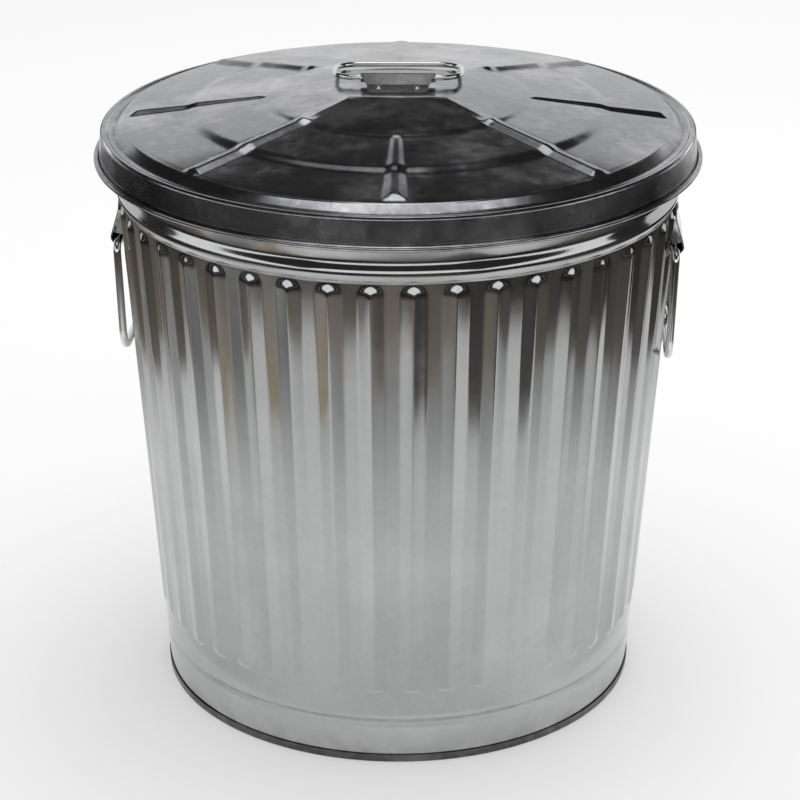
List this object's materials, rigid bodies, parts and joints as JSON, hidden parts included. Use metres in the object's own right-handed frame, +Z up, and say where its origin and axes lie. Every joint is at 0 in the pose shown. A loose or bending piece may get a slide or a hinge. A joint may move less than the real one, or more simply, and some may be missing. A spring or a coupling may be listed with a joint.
{
  "type": "galvanized trash can with lid",
  "caption": "Ribbed galvanized steel trash can with a lift-off lid, a wire lid handle and two swinging wire side handles.",
  "frame": {"origin": "centre of the foot on the floor", "axes": "+Z up, the two side handles on +X and -X, the plate of the lid's bracket faces -Y"},
  "size_m": [0.4996, 0.4996, 0.5284],
  "materials": {
    "wall_zinc": "bright galvanized sheet with a fine spangle",
    "lid_zinc": "galvanized sheet with smudges and a fine spangle",
    "fitting_zinc": "bright galvanized pressing",
    "wire_zinc": "bright galvanized wire"
  },
  "bodies": {
    "can": {"can_wall": "wall_zinc", "rim_wire": "wire_zinc", "base_pan": "wall_zinc", "base_hoop": "fitting_zinc", "ear_left": "fitting_zinc", "ear_right": "fitting_zinc", "ear_rivet_right_1": "fitting_zinc", "ear_rivet_right_2": "fitting_zinc", "ear_rivet_left_1": "fitting_zinc", "ear_rivet_left_2": "fitting_zinc"},
    "lid": {"lid_panel": "lid_zinc", "lid_rim_wire": "wire_zinc", "lid_handle_bracket": "fitting_zinc", "lid_rivet_1": "fitting_zinc", "lid_rivet_2": "fitting_zinc"},
    "lid_bail": {"lid_bail": "wire_zinc"},
    "bail_right": {"bail_right": "wire_zinc"},
    "bail_left": {"bail_left": "wire_zinc"}
  },
  "joints": [
    {"name": "lid_lift", "type": "slide", "parent": "can", "child": "lid", "axis": [0, 0, 1], "range_m": [0, 0.35]},
    {"name": "lid_bail_hinge", "type": "hinge", "parent": "lid", "child": "lid_bail", "pos_m": [0.00019, -0.0045, 0.5246], "axis": [0.9991, 0.0419, 0], "range_deg": [0, 192]},
    {"name": "bail_right_hinge", "type": "hinge", "parent": "can", "child": "bail_right", "pos_m": [0.22945, 0, 0.392], "axis": [0, -1, 0], "range_deg": [0, 155]},
    {"name": "bail_left_hinge", "type": "hinge", "parent": "can", "child": "bail_left", "pos_m": [-0.22945, 0, 0.392], "axis": [0, 1, 0], "range_deg": [0, 155]}
  ]
}
